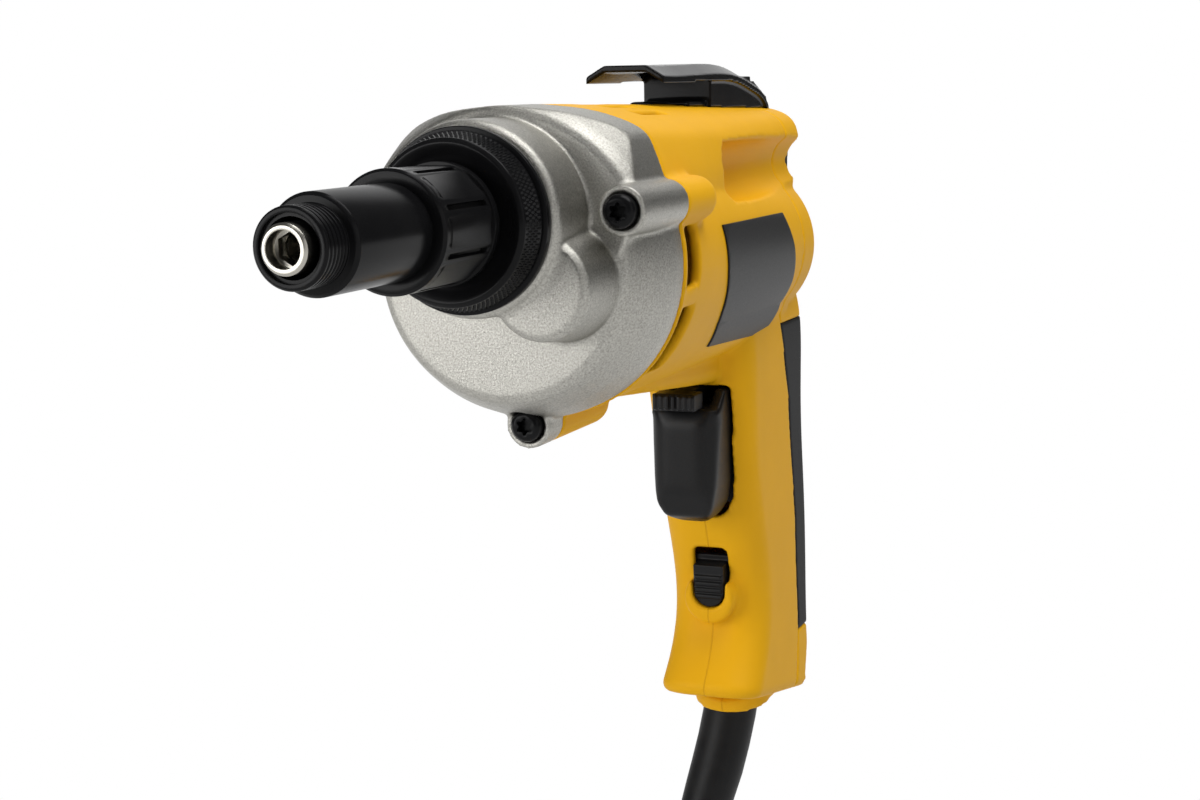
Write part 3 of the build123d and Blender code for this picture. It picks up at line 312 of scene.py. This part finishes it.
finishes = {
    "yellow_plastic": yellow_moulding(),
    "cast_case": blasted_casting(),
    "black_metal": black_oxide(),
    "steel": ground_steel(),
    "black_plastic": black_moulding(),
    "grip_rubber": soft_rubber(),
    "cord_rubber": cord_jacket(),
    "label": bare_label(),
    "carbon": pressed_carbon(),
    "core_steel": plain_metal("laminations", (0.20, 0.20, 0.21), (0.32, 0.32, 0.33), 0.5 * MM, 0.4),
    "copper": plain_metal("enamelled_wire", (0.52, 0.20, 0.07), (0.72, 0.34, 0.14), 0.6 * MM, 0.3),
    "bronze": plain_metal("sintered_bronze", (0.42, 0.27, 0.10), (0.62, 0.42, 0.18), 0.4 * MM, 0.4),
    "contact_brass": plain_metal("bare_blades", (0.60, 0.48, 0.24), (0.80, 0.68, 0.38), 3 * MM, 0.2),
}

for node, part in nodes.items():
    part.data.materials.clear()
    part.data.materials.append(finishes[slot_of[node]])


def new_piece(name, mesh, body, slot, *stands_for):
    """Finish a piece: the material of its slot, its body, and the frame nodes it stands for hidden."""
    piece = bpy.data.objects.new(name, mesh)
    bpy.context.scene.collection.objects.link(piece)
    mesh.materials.clear()
    mesh.materials.append(finishes[slot])
    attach(piece, body)
    if stands_for:
        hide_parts(*stands_for)
    return piece


def merged_copy(node):
    """A copy of a frame node's mesh with its loose triangles joined."""
    mesh = nodes[node].data.copy()
    work = bmesh.new()
    work.from_mesh(mesh)
    bmesh.ops.remove_doubles(work, verts=work.verts, dist=WELD_GAP)
    work.to_mesh(mesh)
    work.free()
    return mesh


def evaluated(mesh, modifiers):
    """Run modifiers on a mesh and return the plain result."""
    helper = bpy.data.objects.new("helper", mesh)
    bpy.context.scene.collection.objects.link(helper)
    for kind, settings in modifiers:
        modifier = helper.modifiers.new(kind.lower(), kind)
        for key, value in settings.items():
            setattr(modifier, key, value)
    graph = bpy.context.evaluated_depsgraph_get()
    made = bpy.data.meshes.new_from_object(helper.evaluated_get(graph))
    bpy.data.objects.remove(helper)
    return made


def softened(node, voxel, passes, keep):
    """A frame node with every edge rounded as moulding and casting round it."""
    steps = [("REMESH", {"mode": "VOXEL", "voxel_size": voxel, "use_smooth_shade": True})]
    steps.append(("SMOOTH", {"factor": ROUNDING_PULL, "iterations": passes}))
    if keep < 1.0:
        steps.append(("DECIMATE", {"ratio": keep}))
    mesh = evaluated(merged_copy(node), steps)
    mesh.shade_smooth()
    return new_piece("soft_" + node, mesh, body_of[node], slot_of[node], node)


def beveled(node, width):
    """A copy of a frame node's mesh with its hard edges bevelled."""
    settings = {"width": width, "segments": 2, "limit_method": "ANGLE", "angle_limit": BEVEL_ANGLE}
    return evaluated(merged_copy(node), [("BEVEL", settings)])


def crisp(node, width):
    """A frame node with fine bevels on its hard edges."""
    mesh = beveled(node, width)
    mesh.shade_smooth()
    mesh.set_sharp_from_angle(angle=SHARP_ANGLE)
    return new_piece("crisp_" + node, mesh, body_of[node], slot_of[node], node)


def repeat_tree():
    """Geometry Nodes: one item on every point, turned by the point, joined to a base."""
    tree = bpy.data.node_groups.new("repeat_on_points", "GeometryNodeTree")
    sockets = (
        ("Points", "Geometry"),
        ("Item", "Object"),
        ("Base", "Object"),
        ("Size", "Float"),
        ("Finish", "Material"),
    )
    for name, kind in sockets:
        tree.interface.new_socket(name, in_out="INPUT", socket_type="NodeSocket" + kind)
    tree.interface.new_socket("Geometry", in_out="OUTPUT", socket_type="NodeSocketGeometry")
    given = tree.nodes.new("NodeGroupInput")
    wires = {name: Wire(tree, given.outputs[name]) for name, _ in sockets}
    item = add_node(tree, "GeometryNodeObjectInfo", None, {"Object": wires["Item"]})
    base = add_node(tree, "GeometryNodeObjectInfo", None, {"Object": wires["Base"]})
    turn = add_node(tree, "GeometryNodeInputNamedAttribute", {"data_type": "FLOAT_VECTOR"}, {"Name": "turn"})
    placed = add_node(tree, "GeometryNodeInstanceOnPoints", None, {
        "Points": wires["Points"],
        "Instance": Wire(tree, item.outputs["Geometry"]),
        "Rotation": Wire(tree, turn.outputs["Attribute"]),
        "Scale": wires["Size"],
    })
    joined = add_node(tree, "GeometryNodeJoinGeometry", None, {0: Wire(tree, base.outputs["Geometry"])})
    tree.links.new(placed.outputs[0], joined.inputs[0])
    plain = add_node(tree, "GeometryNodeRealizeInstances", None, {0: Wire(tree, joined.outputs[0])})
    painted = add_node(tree, "GeometryNodeSetMaterial", None,
                       {"Geometry": Wire(tree, plain.outputs[0]), "Material": wires["Finish"]})
    add_node(tree, "NodeGroupOutput", None, {0: Wire(tree, painted.outputs[0])})
    return tree


REPEAT = repeat_tree()


def held(name, mesh):
    """Put a mesh in the scene under a working name."""
    piece = bpy.data.objects.new(name, mesh)
    bpy.context.scene.collection.objects.link(piece)
    return piece


def repeated(name, item_mesh, base_mesh, places, size, *stands_for):
    """One item at every place, given as a point and a turn, with a base, as one plain mesh."""
    body = body_of[stands_for[0]]
    slot = slot_of[stands_for[0]]
    points = bpy.data.meshes.new(name + "_points")
    points.from_pydata([place for place, _ in places], [], [])
    turns = points.attributes.new("turn", "FLOAT_VECTOR", "POINT")
    for entry, (_, turn) in zip(turns.data, places):
        entry.vector = turn
    carrier = held(name + "_points", points)
    item = held(name + "_item", item_mesh)
    base = held(name + "_base", base_mesh)
    modifier = carrier.modifiers.new("repeat", "NODES")
    modifier.node_group = REPEAT
    values = {"Item": item, "Base": base, "Size": size, "Finish": finishes[slot]}
    for socket in REPEAT.interface.items_tree:
        if socket.in_out == "INPUT" and socket.name in values:
            modifier[socket.identifier] = values[socket.name]
    graph = bpy.context.evaluated_depsgraph_get()
    mesh = bpy.data.meshes.new_from_object(carrier.evaluated_get(graph))
    for helper in (carrier, item, base):
        bpy.data.objects.remove(helper)
    mesh.shade_smooth()
    mesh.set_sharp_from_angle(angle=SHARP_ANGLE)
    return new_piece(name, mesh, body, slot, *stands_for)


def skin(name, rings):
    """A closed skin over rings of points, capped at both ends."""
    count = len(rings[0])
    points = [point for ring in rings for point in ring]
    faces = [tuple(reversed(range(count)))]
    for row in range(len(rings) - 1):
        for index in range(count):
            after = (index + 1) % count
            first = row * count
            faces.append((first + index, first + after, first + count + after, first + count + index))
    last = (len(rings) - 1) * count
    faces.append(tuple(range(last, last + count)))
    mesh = bpy.data.meshes.new(name)
    mesh.from_pydata(points, [], faces)
    return mesh


# Screw head, from its seat over the dome into the socket: radius, lobe and height in millimetres
HEAD_RINGS = (
    (4.2, 0.0, 0.0),
    (4.2, 0.0, 2.7),
    (3.9, 0.0, 3.4),
    (3.2, 0.0, 3.9),
    (2.75, 0.0, 4.0),
    (2.0, 0.36, 3.9),
    (1.9, 0.36, 1.4),
)
SOCKET_LOBES = 6


def lobed_head():
    """A low domed screw head with a six-lobed socket, standing on the origin."""
    steps = 72
    rings = []
    for radius, lobe, height in HEAD_RINGS:
        ring = []
        for index in range(steps):
            angle = 2 * math.pi * index / steps
            reach = (radius + lobe * math.cos(SOCKET_LOBES * angle)) * MM
            ring.append((reach * math.cos(angle), reach * math.sin(angle), height * MM))
        rings.append(ring)
    return skin("lobed_head", rings)


def bars(name, runs, radius):
    """Plain round bars along X, each from its first station to its last."""
    steps = 24
    work = bmesh.new()
    for start, end, y, z in runs:
        place = Matrix.Translation(((start + end) / 2, y, z)) @ Matrix.Rotation(math.pi / 2, 4, "Y")
        bmesh.ops.create_cone(work, cap_ends=True, segments=steps, radius1=radius, radius2=radius,
                              depth=end - start, matrix=place)
    mesh = bpy.data.meshes.new(name)
    work.to_mesh(mesh)
    work.free()
    return mesh


# Screws of the gear case and the rear cover, in millimetres: seat of the head, end of the shank, place Y and Z
FORWARD = (0, math.pi / 2, 0)
BACKWARD = (0, -math.pi / 2, 0)
CASE_SCREWS = ((192.5, 145.5, 36.0, 119.8), (192.5, 145.5, -36.0, 119.8), (169.5, 134.5, 0.0, 62.1))
COVER_SCREWS = ((-13.6, -4.0, 15.0, 92.0), (-13.6, -4.0, -15.0, 92.0), (-27.6, -18.0, 0.0, -54.0))


def screw_set(name, screws, turn, size, shank, node):
    """Lobed screws with their shanks in place of one frame node."""
    places = [((seat * MM, y * MM, z * MM), turn) for seat, _, y, z in screws]
    runs = [(min(seat, end) * MM, max(seat, end) * MM, y * MM, z * MM) for seat, end, y, z in screws]
    repeated(name, lobed_head(), bars(name + "_shanks", runs, shank * MM), places, size, node)


screw_set("lobed_case_screws", CASE_SCREWS, FORWARD, 1.0, 2.0, "gear_case_screws")
screw_set("lobed_cover_screws", COVER_SCREWS, BACKWARD, 0.70, 1.6, "rear_cover_screws")


# Knurl on the collar, in millimetres: station and radius at both ends, the rows, and the size of one stud
KNURL_FRONT = (214.4, 20.3)
KNURL_BACK = (208.8, 21.9)
KNURL_ROWS = (209.7, 210.7, 211.7, 212.7, 213.7)
STUDS_AROUND = 104
STUD_SUNK = 0.1
STUD_TALL = 0.38
STUD_HALF_ALONG = 1.1
STUD_HALF_ACROSS = 0.62
COLLAR_BEVEL = 0.25


def knurled_collar():
    """The clutch collar with rows of small points round its band."""
    front_x, front_r = KNURL_FRONT
    back_x, back_r = KNURL_BACK
    places = []
    for row, station in enumerate(KNURL_ROWS):
        share = (front_x - station) / (front_x - back_x)
        radius = (front_r + share * (back_r - front_r) - STUD_SUNK) * MM
        for index in range(STUDS_AROUND):
            angle = 2 * math.pi * (index + 0.5 * (row % 2)) / STUDS_AROUND
            point = (station * MM, radius * math.sin(angle), SPINDLE_Z + radius * math.cos(angle))
            places.append((point, (-angle, 0, 0)))
    half_along = STUD_HALF_ALONG * MM
    half_across = STUD_HALF_ACROSS * MM
    low = -STUD_SUNK * MM
    corners = [(half_along, 0, low), (0, half_across, low), (-half_along, 0, low), (0, -half_across, low)]
    tip = (0, 0, STUD_TALL * MM)
    faces = [(0, 1, 4), (1, 2, 4), (2, 3, 4), (3, 0, 4), (3, 2, 1, 0)]
    stud = bpy.data.meshes.new("knurl_stud")
    stud.from_pydata(corners + [tip], [], faces)
    base = beveled("adjusting_collar", COLLAR_BEVEL * MM)
    repeated("knurled_collar", stud, base, places, 1.0, "adjusting_collar")


# Moulded and cast pieces: grid of the rounding in millimetres, its passes, and the share of faces kept
ROUNDED = (
    ("gear_case", 0.65, 4, 1.0),
    ("main_housing", 0.9, 4, 0.5),
    ("rear_cover", 0.9, 4, 1.0),
    ("grip_insert", 0.6, 3, 1.0),
    ("saddle_pad", 0.5, 3, 1.0),
    ("trigger", 0.5, 60, 1.0),
    ("belt_hook", 0.5, 3, 1.0),
    ("cord_boot", 0.7, 4, 1.0),
    ("lock_slider", 0.3, 2, 1.0),
    ("reversing_lever", 0.35, 2, 1.0),
    ("plug_body", 0.6, 3, 1.0),
)
# Turned pieces and plates: width of the bevel in millimetres
TURNED = (("faceted_sleeve", 0.25), ("nose_sleeve", 0.12), ("bit_holder", 0.2))
PLATES = (("label_plate_left", 0.15), ("label_plate_right", 0.15))

for node, voxel, passes, keep in ROUNDED:
    softened(node, voxel * MM, passes, keep)
for node, width in TURNED:
    crisp(node, width * MM)
knurled_collar()
for node, width in PLATES:
    crisp(node, width * MM)

# Mains lead: from the boot to the coil, then eight turns to the plug. Route, coil and tail in millimetres
CORD_D = 8.0 * MM
CORD_ROUTE = [
    (20.82, -9.71, -110.83),
    (29.1, -13.6, -123.9),
    (36.5, -17.0, -142.2),
    (41.0, -19.1, -163.6),
    (42.4, -19.7, -185.5),
]
COIL_INNER = 35.5
COIL_PITCH = 8.7
COIL_LAYERS = 4
TURNS_PER_LAYER = 2.0
COIL_CENTRE = (-10.5, -19.7, -205.5)
POINTS_PER_TURN = 16
PLUG_TAIL = 38.0


def coil_point(turn):
    """A point of the coil after so many turns, in millimetres."""
    layer = min(int(turn / TURNS_PER_LAYER), COIL_LAYERS - 1)
    within = turn - layer * TURNS_PER_LAYER
    wound = TURNS_PER_LAYER - within if layer % 2 == 0 else within
    radius = COIL_INNER + COIL_PITCH * wound
    climb = 0.0
    for step in range(1, COIL_LAYERS):
        climb += min(max((turn - step * TURNS_PER_LAYER) * 2 + 0.5, 0.0), 1.0)
    angle = -2 * math.pi * turn
    x, y, z = COIL_CENTRE
    return (x + radius * math.cos(angle), y + COIL_PITCH * climb, z + radius * math.sin(angle))


def mains_lead():
    """The cord as one smooth spline, from the boot through its coil to the plug."""
    points = list(CORD_ROUTE)
    turns = COIL_LAYERS * TURNS_PER_LAYER
    count = int(turns * POINTS_PER_TURN)
    for index in range(count + 1):
        points.append(coil_point(index / POINTS_PER_TURN))
    end = points[-1]
    points.append((end[0], end[1], end[2] - PLUG_TAIL / 2))
    points.append((end[0], end[1], end[2] - PLUG_TAIL))
    line = bpy.data.curves.new("mains_lead", "CURVE")
    line.dimensions = "3D"
    line.bevel_depth = CORD_D / 2
    line.bevel_resolution = 6
    line.resolution_u = 6
    spline = line.splines.new("NURBS")
    spline.points.add(len(points) - 1)
    for place, point in zip(spline.points, points):
        place.co = (point[0] * MM, point[1] * MM, point[2] * MM, 1)
    spline.order_u = 3
    spline.use_endpoint_u = True
    cord = bpy.data.objects.new("mains_lead", line)
    bpy.context.scene.collection.objects.link(cord)
    line.materials.append(finishes["cord_rubber"])
    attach(cord, "housing")
    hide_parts("power_cord", "cord_coil")


mains_lead()


def background_seen(tree):
    """One for a ray straight to the camera, and one for those in a gloss or through glass as well."""
    rays = add_node(tree, "ShaderNodeLightPath")
    kinds = [Wire(tree, rays.outputs["Is " + kind + " Ray"]) for kind in ("Camera", "Glossy", "Transmission")]
    return kinds[0], kinds[0].most(kinds[1]).most(kinds[2])


def backdrop_world():
    """A white sweep behind the tool, a dark room elsewhere in its gloss, and dim light from all round."""
    world = bpy.data.worlds.new("studio")
    bpy.context.scene.world = world
    world.use_nodes = True
    tree = world.node_tree
    tree.nodes.clear()
    aim = add_node(tree, "ShaderNodeTexCoord")
    behind = add_node(tree, "ShaderNodeVectorMath", {"operation": "DOT_PRODUCT"},
                      {0: Wire(tree, aim.outputs["Generated"]), 1: SWEEP_AIM})
    straight, seen = background_seen(tree)
    closeness = Wire(tree, behind.outputs["Value"])
    sweep = closeness.spread(SWEEP_BEGINS, SWEEP_FULL, FRONT_ROOM, 1.0).most(straight)
    soft = add_node(tree, "ShaderNodeBackground", None, {"Color": (1, 1, 1, 1), "Strength": ROOM_LIGHT})
    white = add_node(tree, "ShaderNodeBackground", None, {"Color": (1, 1, 1, 1), "Strength": sweep})
    both = add_node(tree, "ShaderNodeMixShader", None, {
        0: seen, 1: Wire(tree, soft.outputs[0]), 2: Wire(tree, white.outputs[0])})
    add_node(tree, "ShaderNodeOutputWorld", None, {"Surface": Wire(tree, both.outputs[0])})


def pale_floor():
    """A pale floor that keeps the shadow under the tool and fades to white further out."""
    floor_z = cad_low.z - FLOOR_GAP
    mesh = bpy.data.meshes.new("floor")
    sides = ((-1, -1), (1, -1), (1, 1), (-1, 1))
    corners = [(x * FLOOR_REACH, y * FLOOR_REACH, floor_z) for x, y in sides]
    mesh.from_pydata(corners, [], [(0, 1, 2, 3)])
    floor = held("floor", mesh)
    pale = Finish("pale_floor")
    pale.shader.inputs["Base Color"].default_value = (0.88, 0.88, 0.88, 1)
    pale.shader.inputs["Roughness"].default_value = 0.9
    out = pale.tree.nodes["Material Output"]
    distance = pale.wire("ShaderNodeVectorMath", {"operation": "LENGTH"}, {0: pale.place}, "Value")
    plain = distance.spread(FADE_BEGINS, FADE_ENDS, FADE_LEAST, 1.0) * background_seen(pale.tree)[1]
    glow = pale.wire("ShaderNodeEmission", None, {"Color": (1, 1, 1, 1), "Strength": 1.0})
    lit = Wire(pale.tree, pale.shader.outputs[0])
    both = pale.wire("ShaderNodeMixShader", None, {0: plain, 1: lit, 2: glow})
    pale.tree.links.new(both.socket, out.inputs["Surface"])
    mesh.materials.append(pale.material)


def studio():
    """Soft lamps and the photograph's camera."""
    target = Vector(LAMP_TARGET)
    for name, place, wide, power in LAMPS:
        lamp = bpy.data.lights.new(name, "AREA")
        lamp.size = wide
        lamp.energy = power
        holder = bpy.data.objects.new(name, lamp)
        bpy.context.scene.collection.objects.link(holder)
        holder.location = place
        holder.rotation_mode = "QUATERNION"
        holder.rotation_quaternion = (target - Vector(place)).to_track_quat("-Z", "Y")

    around = math.radians(CAMERA_AROUND)
    above = math.radians(CAMERA_ABOVE)
    roll = math.radians(CAMERA_ROLL)
    back = Vector((math.cos(above) * math.cos(around), math.cos(above) * math.sin(around), math.sin(above)))
    right = Vector((0, 0, 1)).cross(back).normalized()
    up = back.cross(right)
    right, up = (right * math.cos(roll) + up * math.sin(roll), up * math.cos(roll) - right * math.sin(roll))
    camera = bpy.data.cameras.new("photo_camera")
    camera.sensor_width = SENSOR_WIDE
    camera.lens = FOCAL_PIXELS / PHOTO_WIDE * camera.sensor_width
    camera.clip_start = 0.01
    holder = bpy.data.objects.new("photo_camera", camera)
    bpy.context.scene.collection.objects.link(holder)
    turn = Matrix((right, up, back)).transposed()
    holder.matrix_world = Matrix.Translation(Vector(CAMERA_PLACE)) @ turn.to_4x4()
    bpy.context.scene.camera = holder
    bpy.context.scene.view_settings.view_transform = "Standard"


backdrop_world()
pale_floor()
studio()
